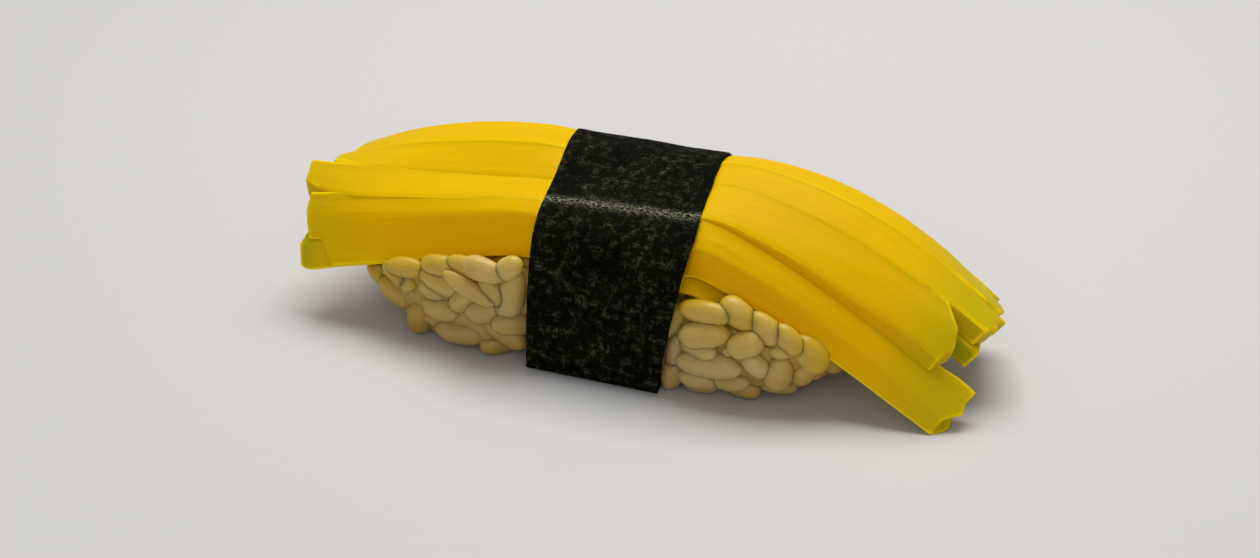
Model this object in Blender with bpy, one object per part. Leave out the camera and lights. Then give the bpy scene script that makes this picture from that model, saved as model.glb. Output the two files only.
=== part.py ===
"""Pickled radish nigiri.

A block of pressed rice carries a bundle of pickled radish strips, laid lengthwise, that
overhang both of its ends and droop. A band of nori wraps once round the middle of both
and laps over itself underneath.

The long axis is X, the front is -Y and the block stands on Z = 0. Sizes are in
millimetres here and become metres as each mesh is written. At the end everything is moved
along so that the origin lies under the middle of the whole.
"""

import math

import bpy
import bmesh
from mathutils import Matrix, Vector, noise

MM = 0.001
GAP = 0.3                # clearance kept between neighbouring pieces

# ---- band of nori -----------------------------------------------------------------------
# The band is wrapped a little askew: its edges move towards -X as Y grows.
BAND_LEFT = -10.4        # where its edges cross Y = 0 at the top of the bundle
BAND_RIGHT = 8.0
BAND_SKEW = 0.13         # shift towards -X for each millimetre of Y
BAND_SPREAD_LEFT = 0.6   # how far the left edge has spread at the ground
BAND_TAPER_RIGHT = 3.4   # how far the right edge has drawn in there
BAND_TAPER_HEIGHT = 18.0
NORI_THICK = 0.35
LAP_OUTER_END = 1.6      # Y where the outer end of the lap stops
LAP_INNER_END = 6.0      # Y where the inner end stops, above the outer one
LAP_STEP = (1.4, 1.8)    # run of the step by which the inner end climbs over the outer one

# Sides of the band from the ground up and from the shoulder down: Y, then height.
BAND_FRONT_SIDE = ((-12.6, 0.0), (-13.7, 1.0), (-13.9, 5.0), (-13.7, 10.0))
BAND_BACK_SIDE = ((13.8, 9.4), (13.9, 5.0), (13.7, 1.0), (12.6, 0.0))

# Top of the band from front to back: Y, then its height at the left and right edges.
BAND_TOP = (
    (-13.2, 13.0, 13.0), (-12.5, 15.2, 15.1), (-11.4, 16.8, 16.6), (-9.8, 17.9, 17.9),
    (-7.6, 18.5, 19.5),
    (-3.0, 19.7, 20.9), (1.2, 21.4, 22.0), (3.6, 21.6, 21.9), (6.3, 21.1, 21.1),
    (10.8, 17.8, 17.6), (12.4, 16.0, 15.8), (13.2, 13.2, 13.0),
)

# ---- radish strips ----------------------------------------------------------------------
REST_LEFT = -9.6         # the strips lie on the block between these and droop beyond
REST_RIGHT = 9.3
OVERHANG = 30.0          # length over which droops and sways are stated
SQUEEZE = 0.8            # how far the band presses the strips down
SQUEEZE_RUN = 2.2        # length over which a strip rises again beside the band
HALF_STATIONS = 9        # cross-sections of a strip beyond each edge of the band
BAND_STATIONS = 3        # and inside the band
EDGE_RADIUS = 0.35
END_SHAPE_RUN = 7.0      # length over which a slanting or notched end is worked in
STEP_SHARES = (0.4, 0.6)  # depth over which a stepped end steps, as shares of thickness
TUCK_SHARES = (0.77, 0.93)  # where a tucked edge spreads, as shares of OVERHANG
SWAY_POWER = 1.5
FRONT_LEAN = Vector((-0.8, 2.0, -1.05))  # shift of the bundle's front top edge

# The strips lie side by side in columns. Each seam between two columns is given as its Y
# at the left tips, at REST_LEFT, at REST_RIGHT and at the right tips.
SEAMS = (
    (-11.2, -11.8, -12.0, -11.4),
    (-7.0, -8.0, -7.0, -7.0),
    (-2.8, -3.8, -2.1, -2.0),
    (1.4, 0.6, 1.9, 3.2),
    (5.9, 5.9, 6.7, 7.6),
    (10.9, 10.7, 11.0, 12.1),
)

# Each half of a strip: the height of the top face's front and back edges where the strip
# leaves the block, each with its droop over OVERHANG and the power of that droop; the
# thickness there and at the end; where it ends; and how far the end is cut back from front
# edge to back edge. "step" is how far the upper part of an end stops short of its lower
# part, and "tuck" how far the back edge has spread under the next strip at the tip. A
# carried strip lies right under the one that carries it. "lean" is the share of FRONT_LEAN
# that the top and the bottom of a strip's front face have.
STRIPS = {
    "strip_front": dict(
        column=0, crown=0.15, lean=(1.0, 0.5),
        left=dict(front=(18.5, 6.9, 1.07), back=(18.4, 4.75, 1.0), thick=(2.7, 2.3),
                  end=-39.2, cut=(1.1, 0.5, 0.2, 0.0)),
        right=dict(front=(18.3, 16.5, 1.32), back=(19.4, 15.3, 1.25), thick=(3.9, 2.5),
                   end=40.0, cut=(1.9, 0.3, 0.5, 0.0), tuck=1.5),
    ),
    "strip_middle": dict(
        column=1, crown=0.15,
        left=dict(front=(18.4, 4.75, 1.0), back=(19.15, 3.3, 0.8), thick=(2.8, 2.2),
                  end=-41.5, cut=(4.3, 0.6, 0.4, 0.0)),
        right=dict(front=(19.6, 13.1, 1.3), back=(20.85, 11.6, 1.8), thick=(2.7, 1.9),
                   end=37.4, cut=(1.5, 0.2, 0.4, 2.2)),
    ),
    "strip_ridge": dict(
        column=2, crown=0.2,
        left=dict(front=(19.15, 3.3, 0.8), back=(21.3, 6.1, 1.66), thick=(2.6, 2.8),
                  end=-39.2, cut=(0.6, 0.2, 0.1, 0.3)),
        right=dict(front=(20.85, 11.6, 1.8), back=(21.9, 12.8, 2.0), thick=(2.6, 2.3),
                   end=40.6, cut=(1.0, 0.2, 0.6, 0.0)),
    ),
    "strip_crest": dict(
        column=3, crown=0.3,
        left=dict(front=(21.3, 6.1, 1.66), back=(21.1, 6.6, 2.25), thick=(3.2, 2.8),
                  end=-38.4, cut=(0.0, 0.3, 0.4, 1.0)),
        right=dict(front=(21.9, 12.8, 2.0), back=(20.7, 13.6, 2.25), thick=(3.2, 2.4),
                   end=39.9, cut=(0.3, 0.0, 0.4, 1.0)),
    ),
    "strip_back": dict(
        column=4, crown=0.3,
        left=dict(front=(21.1, 6.6, 2.25), back=(17.2, 5.8, 1.66), thick=(3.6, 3.2),
                  end=-37.2, cut=(0.8, 0.0, 0.2, 0.4)),
        right=dict(front=(20.7, 13.6, 2.25), back=(17.0, 12.4, 1.74), thick=(3.6, 2.8),
                   end=38.2, cut=(0.6, 0.0, 0.3, 0.9)),
    ),
    "strip_under_front": dict(
        column=0, carried_by="strip_front", lean=(0.5, 0.0),
        left=dict(thick=(2.3, 3.6), end=-39.6, cut=(0.0, 0.2, 0.4, 0.8), step=0.5),
        right=dict(thick=(2.0, 1.3), end=17.4, cut=(0.6, 0.2, 0.0, 0.4)),
    ),
    "strip_under_ridge": dict(
        column=2, carried_by="strip_ridge",
        left=dict(thick=(2.4, 2.2), end=-35.0, cut=(0.3, 0.0, 0.3, 0.8)),
        right=dict(thick=(2.4, 2.5), end=39.0, cut=(0.0, 0.2, 0.5, 0.9)),
    ),
}

# ---- block of rice ----------------------------------------------------------------------
# Each half: where the body and the foot end, and how square the foot's corners are.
RICE_HALVES = dict(
    left=dict(body=-33.6, foot=-28.2, squareness=8.0),
    right=dict(body=27.6, foot=22.9, squareness=4.0),
)
RICE_END_LIFT = 4.4      # height of the ends' lowest points
RICE_END_HEIGHT = 2.6    # height of the end faces
RICE_END_SHARE = 0.4     # width of the end faces, as a share of the block's
RICE_FOOT_HEIGHT = 5.0   # the foot widens into the body over this height
RICE_HALF_WIDTH = 14.5
RICE_WAIST = 12.5        # half width inside the band
RICE_CLEAR = 1.4         # the block starts to widen this far outside the band
RICE_TOP = 16.8          # crown of the block under the bundle
RICE_SIDE_POWER = 4      # how square the body's sides are along X
RICE_FOOT_SHARE = 0.3    # least width of the foot, as a share of the body's
RICE_LIFT_POWER = 1.2    # how fast the underside rises beyond the foot
RICE_SINK = 0.4          # how far the rounded underside is sunk to make a flat
# How boxy a cross-section is in its lower and upper half: the powers of a circle's height
# and width. A lower power is boxier.
RICE_BOXINESS = dict(low=(0.3, 0.36), high=(0.5, 0.62))
RICE_STATIONS = 44
RICE_AROUND = 34
OUTLINE_FINENESS = 8     # points of the plain outline for each one of a cross-section
GRAIN_LENGTH = 6.4
GRAIN_WIDTH = 3.2
GRAIN_RELIEF = 0.8       # how deep the dips between grains are
GRAIN_PLUMPNESS = 0.8    # share of a grain's cell over which it slopes into the dip

RADISH_COLOUR = (0.76, 0.47, 0.010, 1.0)
RICE_COLOUR = (0.72, 0.66, 0.50, 1.0)
NORI_COLOUR = (0.010, 0.014, 0.007, 1.0)


def material(name, colour, roughness):
    """A plain Principled material."""
    made = bpy.data.materials.new(name)
    made.use_nodes = True
    shader = made.node_tree.nodes["Principled BSDF"]
    shader.inputs["Base Color"].default_value = colour
    shader.inputs["Roughness"].default_value = roughness
    shader.inputs["Metallic"].default_value = 0.0
    return made


def add_object(name, mesh_data, finish, smooth_angle):
    """Turn a bmesh in millimetres into a named object in metres."""
    bmesh.ops.scale(mesh_data, vec=(MM, MM, MM), verts=mesh_data.verts)
    bmesh.ops.recalc_face_normals(mesh_data, faces=mesh_data.faces)
    mesh = bpy.data.meshes.new(name)
    mesh_data.to_mesh(mesh)
    mesh_data.free()
    mesh.materials.append(finish)
    mesh.shade_smooth()
    mesh.set_sharp_from_angle(angle=math.radians(smooth_angle))
    made = bpy.data.objects.new(name, mesh)
    bpy.context.collection.objects.link(made)
    return made


def lerp(start, end, share):
    return start + (end - start) * share


def clamp(value, low=0.0, high=1.0):
    return min(max(value, low), high)


def ease(share):
    """Smooth step from 0 to 1."""
    share = clamp(share)
    return share * share * (3.0 - 2.0 * share)


def share_between(value, bounds):
    """Smooth step from 0 at the lower bound to 1 at the upper one."""
    return ease((value - bounds[0]) / (bounds[1] - bounds[0]))


def places_between(start, end, count):
    """Places from start to end, closer together near both."""
    places = []
    for i in range(count + 1):
        even = i / count
        bunched = 0.5 - 0.5 * math.cos(math.pi * even)
        places.append(lerp(start, end, (even + bunched) / 2))
    return places


def band_edges(y, z):
    """X of the band's left and right edges at a place on its surface."""
    low = 1.0 - clamp(z / BAND_TAPER_HEIGHT)
    left = BAND_LEFT - BAND_SKEW * y - BAND_SPREAD_LEFT * low
    right = BAND_RIGHT - BAND_SKEW * y - BAND_TAPER_RIGHT * low
    return left, right


def outside_band(point):
    """Distance along X from a point to the nearer edge of the band, 0 inside it."""
    left, right = band_edges(point.y, point.z)
    return max(left - point.x, point.x - right, 0.0)


def loft(rings):
    """Skin a row of closed rings of points and cap both ends."""
    mesh_data = bmesh.new()
    rows = [[mesh_data.verts.new(point) for point in ring] for ring in rings]
    count = len(rows[0])
    for near, far in zip(rows, rows[1:]):
        for i in range(count):
            j = (i + 1) % count
            mesh_data.faces.new((near[i], near[j], far[j], far[i]))
    mesh_data.faces.new(rows[0])
    mesh_data.faces.new(rows[-1])
    bmesh.ops.triangulate(mesh_data, faces=mesh_data.faces)
    return mesh_data


# ---- radish strips ----------------------------------------------------------------------
def rest_share(x):
    """0 at REST_LEFT and 1 at REST_RIGHT, eased between them."""
    return ease((x - REST_LEFT) / (REST_RIGHT - REST_LEFT))


def overhang(x):
    """Distance beyond the supported part, as a share of OVERHANG."""
    return max(REST_LEFT - x, x - REST_RIGHT, 0.0) / OVERHANG


def side_of(x):
    return "left" if x < 0.0 else "right"


def seam_y(seam, x):
    """Y of a seam at X: it crosses over the block and sways beyond it."""
    left_tip, left_rest, right_rest, right_tip = SEAMS[seam]
    sway = left_tip - left_rest if x < 0.0 else right_tip - right_rest
    return lerp(left_rest, right_rest, rest_share(x)) + sway * overhang(x) ** SWAY_POWER


def edge_height(strip, edge, x):
    """Height of the top face at its front or back edge, before the band presses it."""
    at_rest = lerp(strip["left"][edge][0], strip["right"][edge][0], rest_share(x))
    droop, power = strip[side_of(x)][edge][1:]
    return at_rest - droop * overhang(x) ** power


def thickness(strip, x):
    at_rest = lerp(strip["left"]["thick"][0], strip["right"]["thick"][0], rest_share(x))
    half = strip[side_of(x)]
    return lerp(at_rest, half["thick"][1], clamp(overhang(x) / overhang(half["end"])))


def top_height(strip, x, share):
    """Height of the top face at X and at a share of the width from front to back."""
    if "carried_by" in strip:
        return underside_height(STRIPS[strip["carried_by"]], x, share) - GAP
    level = lerp(edge_height(strip, "front", x), edge_height(strip, "back", x), share)
    return level + strip["crown"] * (1.0 - (2.0 * share - 1.0) ** 2)


def top_slope(strip, x):
    """How steeply the middle of the top face climbs along X."""
    step = 0.25
    return (top_height(strip, x + step, 0.5) - top_height(strip, x - step, 0.5)) / (2 * step)


def underside_height(strip, x, share):
    """Height of the bottom face straight below a point of the top face."""
    steepness = math.hypot(1.0, top_slope(strip, x))
    return top_height(strip, x, share) - thickness(strip, x) * steepness


def leaned(strip, depth_share, share):
    """Shift of a point of a strip whose front leans back."""
    top, bottom = strip.get("lean", (0.0, 0.0))
    return FRONT_LEAN * lerp(top, bottom, depth_share) * (1.0 - share)


def pressed(point):
    """How far the band presses the bundle down at a point."""
    at_top = Vector((point.x, point.y, BAND_TAPER_HEIGHT))
    return SQUEEZE * (1.0 - ease(outside_band(at_top) / SQUEEZE_RUN))


def cut_back(cut, share):
    """How far an end is cut back at a share of the width, 0 at the front edge."""
    place = clamp(share) * (len(cut) - 1)
    index = min(int(place), len(cut) - 2)
    return lerp(cut[index], cut[index + 1], place - index)


def section(width, thick):
    """Outline of a strip as (share of width, depth): a bar with rounded edges."""
    r = EDGE_RADIUS
    far = width / 2 - r
    corners = ((far, r), (far, thick - r), (-far, thick - r), (-far, r))
    points = []
    for quarter, (centre, centre_depth) in enumerate(corners):
        for step in (0.0, 0.5, 1.0):
            angle = math.pi / 2 * (1 - quarter - step)
            points.append((centre + r * math.cos(angle), centre_depth - r * math.sin(angle)))
        if quarter in (1, 3):
            side = 1.0 if quarter == 1 else -1.0
            depth = thick if quarter == 1 else 0.0
            points += [(side * place * far, depth) for place in (1 / 3, -1 / 3)]
    return [(across / width + 0.5, depth) for across, depth in points]


def strip_ring(strip, x, side):
    """One cross-section of a strip, shaped to its cut near the end."""
    half = strip[side]
    column = strip["column"]
    inward = 1.0 if side == "left" else -1.0
    near_end = ease(1.0 - abs(half["end"] - x) / END_SHAPE_RUN)
    width = seam_y(column + 1, x) - seam_y(column, x) - GAP
    thick = thickness(strip, x)
    ring = []
    for share, depth in section(width, thick):
        back = cut_back(half["cut"], share)
        back += half.get("step", 0.0) * (1.0 - share_between(depth / thick, STEP_SHARES))
        top_x = x + inward * back * near_end
        down = Vector((top_slope(strip, top_x), 0.0, -1.0)).normalized()
        point = Vector((top_x, 0.0, top_height(strip, top_x, share))) + down * depth
        near = seam_y(column, point.x) + GAP / 2
        far = seam_y(column + 1, point.x) - GAP / 2
        far += half.get("tuck", 0.0) * share_between(overhang(point.x), TUCK_SHARES)
        point.y = lerp(near, far, share)
        point.z -= pressed(point)
        ring.append(point + leaned(strip, depth / thick, share))
    return ring


def strip_places(strip):
    """X of a strip's cross-sections from its left end to its right end."""
    left, right = band_edges(seam_y(strip["column"], 0.0), BAND_TAPER_HEIGHT)
    places = places_between(strip["left"]["end"], left - SQUEEZE_RUN, HALF_STATIONS)
    places += places_between(left, right, BAND_STATIONS)
    places += places_between(right + SQUEEZE_RUN, strip["right"]["end"], HALF_STATIONS)
    return places


def build_strip(name, strip, finish):
    rings = [strip_ring(strip, x, side_of(x)) for x in strip_places(strip)]
    return add_object(name, loft(rings), finish, smooth_angle=40)


def bundle_underside(x, y, margin):
    """Lowest strip face above the point (x, y) or within a margin of it."""
    lowest = math.inf
    for strip in STRIPS.values():
        if not strip["left"]["end"] - margin < x < strip["right"]["end"] + margin:
            continue
        near = seam_y(strip["column"], x)
        far = seam_y(strip["column"] + 1, x)
        if near - margin < y < far + margin:
            share = clamp((y - near) / (far - near))
            shift = leaned(strip, 1.0, share)
            lowest = min(lowest, underside_height(strip, x - shift.x, share) + shift.z)
    return lowest - pressed(Vector((x, y, 0.0)))


# ---- block of rice ----------------------------------------------------------------------
def rice_extent(x):
    """Half widths of body and foot, lowest and highest point of the plain block at X."""
    half = RICE_HALVES[side_of(x)]
    body, foot = half["body"], half["foot"]
    body_round = math.sqrt(max(1.0 - (x / body) ** RICE_SIDE_POWER, 0.0))
    foot_round = math.sqrt(max(1.0 - (x / foot) ** half["squareness"], 0.0))
    body_width = RICE_HALF_WIDTH * lerp(RICE_END_SHARE, 1.0, body_round)
    foot_width = max(RICE_HALF_WIDTH * foot_round, RICE_FOOT_SHARE * body_width)
    foot_width = min(foot_width, body_width)
    lift = RICE_END_LIFT * max((x - foot) / (body - foot), 0.0) ** RICE_LIFT_POWER
    crown = lerp(RICE_END_LIFT + RICE_END_HEIGHT, RICE_TOP, body_round)
    return body_width, foot_width, lift, crown


def grain_bump(point):
    """Inward relief at a point of the block: 0 on a grain's crest, more in the dips."""
    place = Vector((point.x / GRAIN_LENGTH, point.y / GRAIN_WIDTH, point.z / GRAIN_WIDTH))
    distances, _ = noise.voronoi(place)
    return GRAIN_RELIEF * min(distances[0] / GRAIN_PLUMPNESS, 1.0)


def rice_outline(x):
    """Plain cross-section of the block at X as closely spaced points."""
    body_width, foot_width, lift, crown = rice_extent(x)
    outline = []
    count = RICE_AROUND * OUTLINE_FINENESS
    for i in range(count):
        angle = 2 * math.pi * i / count
        across, rise = math.sin(angle), -math.cos(angle)
        rise_power, across_power = RICE_BOXINESS["low" if rise < 0.0 else "high"]
        height = 0.5 + 0.5 * math.copysign(abs(rise) ** rise_power, rise)
        z = max(lerp(lift, crown, height) - RICE_SINK, lift)
        width = lerp(foot_width, body_width, ease((z - lift) / RICE_FOOT_HEIGHT))
        y = width * math.copysign(abs(across) ** across_power, across)
        outline.append(Vector((x, y, z)))
    return outline


def spread_evenly(outline, count):
    """The given number of points, evenly spaced along a closed outline."""
    closed = outline + outline[:1]
    lengths = [0.0]
    for near, far in zip(closed, closed[1:]):
        lengths.append(lengths[-1] + (far - near).length)
    spread = []
    index = 0
    for i in range(count):
        target = lengths[-1] * i / count
        while lengths[index + 1] < target:
            index += 1
        share = (target - lengths[index]) / (lengths[index + 1] - lengths[index])
        spread.append(closed[index].lerp(closed[index + 1], share))
    return spread


def rice_ceiling(point, spacing):
    """Height that the block may reach at a point of its outline."""
    asides = (-spacing / 2, 0.0, spacing / 2)
    lowest = min(bundle_underside(point.x, point.y + aside, spacing) for aside in asides)
    return lowest - GAP


def rice_ring(x):
    """Cross-section of the block at X, flat underneath and pressed under the bundle."""
    plain = spread_evenly(rice_outline(x), RICE_AROUND)
    spacing = (plain[1] - plain[0]).length
    centre = sum(plain, Vector()) / RICE_AROUND
    from_tip = min(x - RICE_HALVES["left"]["body"], RICE_HALVES["right"]["body"] - x)
    ring = []
    for point in plain:
        in_band = 1.0 - ease((outside_band(point) - RICE_CLEAR) / RICE_CLEAR)
        waist = clamp(point.y, -RICE_WAIST, RICE_WAIST)
        point.y = lerp(point.y, waist, in_band)
        floor = (NORI_THICK + GAP) * 2 * in_band
        ceiling = rice_ceiling(point, spacing)
        free = ease((ceiling - point.z) / spacing) * (1.0 - in_band)
        free *= ease(from_tip / GRAIN_WIDTH)
        point.z = clamp(point.z, floor, ceiling)
        inward = (centre - point).normalized()
        inward.z = min(inward.z, 0.0)
        ring.append(point + inward * grain_bump(point) * free)
    return ring


def build_rice(finish):
    left, right = RICE_HALVES["left"]["body"], RICE_HALVES["right"]["body"]
    rings = [rice_ring(lerp(left, right, i / RICE_STATIONS)) for i in range(RICE_STATIONS + 1)]
    return add_object("rice", loft(rings), finish, smooth_angle=60)


# ---- band of nori -----------------------------------------------------------------------
def band_path():
    """Outer face of the band as (y, left z, right z), from the inner end of its lap round
    to the outer end."""
    lap_height = NORI_THICK + GAP
    above, beside = LAP_STEP
    lap = ((LAP_INNER_END, lap_height), (LAP_OUTER_END + above, lap_height),
           (LAP_OUTER_END - beside, 0.0))
    path = [(y, z, z) for y, z in lap + BAND_FRONT_SIDE]
    path += BAND_TOP
    path += [(y, z, z) for y, z in BAND_BACK_SIDE]
    path.append((LAP_OUTER_END, 0.0, 0.0))
    return path


def build_band(finish):
    path = band_path()
    rings = []
    for i, (y, z_left, z_right) in enumerate(path):
        outer = []
        inner = []
        for share in (0.0, 0.5, 1.0):
            here, before, after = [
                Vector((py, lerp(left, right, share)))
                for py, left, right in (path[i], path[max(i - 1, 0)],
                                        path[min(i + 1, len(path) - 1)])
            ]
            run = (after - before).normalized()
            inside = here + Vector((run.y, -run.x)) * NORI_THICK
            left, right = band_edges(here.x, here.y)
            x = lerp(left, right, share)
            outer.append(Vector((x, here.x, here.y)))
            inner.append(Vector((x, inside.x, inside.y)))
        rings.append(outer + inner[::-1])
    return add_object("nori_band", loft(rings), finish, smooth_angle=50)


def centre_over_origin(pieces):
    """Move all meshes so that the origin is the bottom centre of the whole."""
    points = [vert.co for piece in pieces for vert in piece.data.vertices]
    low = [min(point[axis] for point in points) for axis in range(3)]
    high = [max(point[axis] for point in points) for axis in range(3)]
    middle = Vector(((low[0] + high[0]) / 2, (low[1] + high[1]) / 2, low[2]))
    for piece in pieces:
        piece.data.transform(Matrix.Translation(-middle))


def main():
    for old in list(bpy.data.objects):
        bpy.data.objects.remove(old)
    radish = material("radish", RADISH_COLOUR, roughness=0.3)
    rice = material("cooked_rice", RICE_COLOUR, roughness=0.35)
    nori = material("nori", NORI_COLOUR, roughness=0.45)
    pieces = [build_strip(name, strip, radish) for name, strip in STRIPS.items()]
    pieces.append(build_rice(rice))
    pieces.append(build_band(nori))
    centre_over_origin(pieces)


main()
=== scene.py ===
import math
import random

import bmesh
import bpy
import numpy as np
from mathutils import Matrix, Vector, noise
from mathutils.bvhtree import BVHTree
from mathutils.kdtree import KDTree


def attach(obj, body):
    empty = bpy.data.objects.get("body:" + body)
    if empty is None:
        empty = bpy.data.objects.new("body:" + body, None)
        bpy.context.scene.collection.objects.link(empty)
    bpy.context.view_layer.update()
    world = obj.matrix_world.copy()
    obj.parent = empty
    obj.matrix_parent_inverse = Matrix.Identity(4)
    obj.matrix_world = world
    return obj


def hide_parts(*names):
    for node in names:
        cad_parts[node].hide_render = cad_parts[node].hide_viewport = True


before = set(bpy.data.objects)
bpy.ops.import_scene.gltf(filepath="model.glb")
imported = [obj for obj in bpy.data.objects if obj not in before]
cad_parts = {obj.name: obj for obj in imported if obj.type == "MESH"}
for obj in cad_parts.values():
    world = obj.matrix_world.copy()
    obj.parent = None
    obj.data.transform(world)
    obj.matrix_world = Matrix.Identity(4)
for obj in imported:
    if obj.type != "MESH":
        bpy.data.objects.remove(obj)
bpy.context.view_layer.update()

scene = bpy.context.scene
scene.view_settings.view_transform = "Standard"
mm = 0.001
print("frame loaded:", len(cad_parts), "nodes")


def ease(share):
    share = min(max(share, 0.0), 1.0)
    return share * share * (3.0 - 2.0 * share)


def lerp(start, end, share):
    return start + (end - start) * share


def activate(piece):
    if bpy.context.mode != "OBJECT":
        bpy.ops.object.mode_set(mode="OBJECT")
    bpy.ops.object.select_all(action="DESELECT")
    piece.select_set(True)
    bpy.context.view_layer.objects.active = piece


def editAll(piece):
    activate(piece)
    bpy.ops.object.mode_set(mode="EDIT")
    bpy.ops.mesh.select_all(action="SELECT")


def objectMode():
    bpy.ops.object.mode_set(mode="OBJECT")


def applyAll(piece):
    activate(piece)
    for modifier in list(piece.modifiers):
        bpy.ops.object.modifier_apply(modifier=modifier.name)


def mergedCopy(nodeName, name):
    # a copy of a CAD node with its loose triangles merged into one skin
    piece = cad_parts[nodeName].copy()
    piece.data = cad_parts[nodeName].data.copy()
    piece.name = name
    piece.data.name = name
    piece.parent = None
    piece.matrix_world = Matrix.Identity(4)
    for key in list(piece.keys()):
        del piece[key]
    scene.collection.objects.link(piece)
    piece.data.materials.clear()
    editAll(piece)
    bpy.ops.mesh.remove_doubles(threshold=0.00001)
    objectMode()
    return piece


def treeOf(pieces):
    # a search tree over the faces of some pieces, in millimetres
    points, faces = [], []
    for piece in pieces:
        start = len(points)
        points += [v.co / mm for v in piece.data.vertices]
        faces += [[start + i for i in p.vertices] for p in piece.data.polygons]
    return BVHTree.FromPolygons(points, faces)


def setAttribute(piece, name, values):
    # one number for each vertex, which the materials read
    layer = piece.data.attributes.new(name, "FLOAT", "POINT")
    layer.data.foreach_set("value", np.asarray(values, np.float32))


def setVectorAttribute(piece, name, values):
    layer = piece.data.attributes.new(name, "FLOAT_VECTOR", "POINT")
    layer.data.foreach_set("vector", np.asarray(values, np.float32).ravel())


def coords(piece):
    # vertex places in millimetres
    co = np.zeros(len(piece.data.vertices) * 3, np.float32)
    piece.data.vertices.foreach_get("co", co)
    return co.reshape(-1, 3) / mm


def setCoords(piece, co):
    piece.data.vertices.foreach_set("co", (co * mm).astype(np.float32).ravel())
    piece.data.update()


def newMaterial(name):
    material = bpy.data.materials.new(name)
    material.use_nodes = True
    tree = material.node_tree
    return material, tree, tree.nodes["Principled BSDF"]


def addNode(tree, kind, x, y, **settings):
    node = tree.nodes.new(kind)
    node.location = (x, y)
    for key, value in settings.items():
        setattr(node, key, value)
    return node


def addRamp(tree, x, y, value, start, end, first=(0, 0, 0, 1), last=(1, 1, 1, 1)):
    # runs from the first colour to the last as the value goes from start to end
    ramp = addNode(tree, "ShaderNodeValToRGB", x, y)
    low, high = ramp.color_ramp.elements
    low.position, low.color = start, first
    high.position, high.color = end, last
    tree.links.new(value, ramp.inputs[0])
    return ramp.outputs[0]


def feed(tree, socket, value):
    # a socket takes either a link or a plain value
    if isinstance(value, bpy.types.NodeSocket):
        tree.links.new(value, socket)
    else:
        socket.default_value = value


def addMix(tree, x, y, factor, first, second):
    mix = addNode(tree, "ShaderNodeMix", x, y, data_type="RGBA")
    for index, value in ((0, factor), (6, first), (7, second)):
        feed(tree, mix.inputs[index], value)
    return mix.outputs[2]


def addMath(tree, x, y, operation, *values, clamp=False):
    node = addNode(tree, "ShaderNodeMath", x, y, operation=operation, use_clamp=clamp)
    for socket, value in zip(node.inputs, values):
        feed(tree, socket, value)
    return node.outputs[0]


def addAttribute(tree, x, y, name):
    return addNode(tree, "ShaderNodeAttribute", x, y, attribute_name=name)


def fineNoiseGroup():
    # two sizes of noise mixed, on coordinates that are stretched along the piece
    group = bpy.data.node_groups.new("StretchedNoise", "ShaderNodeTree")
    group.interface.new_socket("Vector", in_out="INPUT", socket_type="NodeSocketVector")
    group.interface.new_socket("Stretch", in_out="INPUT", socket_type="NodeSocketVector")
    for name in ("Coarse Scale", "Fine Scale", "Fine Share"):
        group.interface.new_socket(name, in_out="INPUT", socket_type="NodeSocketFloat")
    group.interface.new_socket("Value", in_out="OUTPUT", socket_type="NodeSocketFloat")
    entry = addNode(group, "NodeGroupInput", -800, 0)
    leave = addNode(group, "NodeGroupOutput", 400, 0)
    scaled = addNode(group, "ShaderNodeVectorMath", -560, 0, operation="MULTIPLY")
    group.links.new(entry.outputs["Vector"], scaled.inputs[0])
    group.links.new(entry.outputs["Stretch"], scaled.inputs[1])
    coarse = addNode(group, "ShaderNodeTexNoise", -300, 120)
    fine = addNode(group, "ShaderNodeTexNoise", -300, -160)
    coarse.inputs["Detail"].default_value = 4.0
    fine.inputs["Detail"].default_value = 3.0
    for texture, scale in ((coarse, "Coarse Scale"), (fine, "Fine Scale")):
        group.links.new(scaled.outputs[0], texture.inputs["Vector"])
        group.links.new(entry.outputs[scale], texture.inputs["Scale"])
    mix = addNode(group, "ShaderNodeMix", 100, 0, data_type="FLOAT")
    group.links.new(entry.outputs["Fine Share"], mix.inputs[0])
    group.links.new(coarse.outputs[0], mix.inputs[2])
    group.links.new(fine.outputs[0], mix.inputs[3])
    group.links.new(mix.outputs[0], leave.inputs["Value"])
    return group


stretchedNoise = fineNoiseGroup()


def addStretched(tree, x, y, vector, stretch, coarse, fine, fineShare):
    # a node of the shared noise group
    node = addNode(tree, "ShaderNodeGroup", x, y, node_tree=stretchedNoise)
    tree.links.new(vector, node.inputs["Vector"])
    node.inputs["Stretch"].default_value = stretch
    node.inputs["Coarse Scale"].default_value = coarse
    node.inputs["Fine Scale"].default_value = fine
    node.inputs["Fine Share"].default_value = fineShare
    return node.outputs["Value"]


def addBump(tree, shader, x, y, height, strength, distance):
    bump = addNode(tree, "ShaderNodeBump", x, y)
    bump.inputs["Strength"].default_value = strength
    bump.inputs["Distance"].default_value = distance
    tree.links.new(height, bump.inputs["Height"])
    tree.links.new(bump.outputs[0], shader.inputs["Normal"])


def addRoughness(tree, shader, x, y, value, share, least):
    # roughness that follows a noise
    rough = addMath(tree, x, y, "MULTIPLY_ADD", value, share, least)
    tree.links.new(rough, shader.inputs["Roughness"])


radishLook = dict(
    top=(0.75, 0.455, 0.0, 1.0),
    pale=(1.0, 0.68, 0.002, 1.0),
    # side is painted shade for faces turned from the top; the random clouds lean to it as well
    side=(0.80, 0.375, 0.0, 1.0),
    green=(0.38, 0.40, 0.008, 1.0),
    streakShare=0.22, cloudShare=0.25, rimHighlightShare=0.95,
    subsurface=0.40, radius=(1.0, 0.80, 0.03), scale=0.0014,
    roughShare=0.22, roughLeast=0.30,
    bump=0.18, bumpDepth=0.00015,
)


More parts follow.
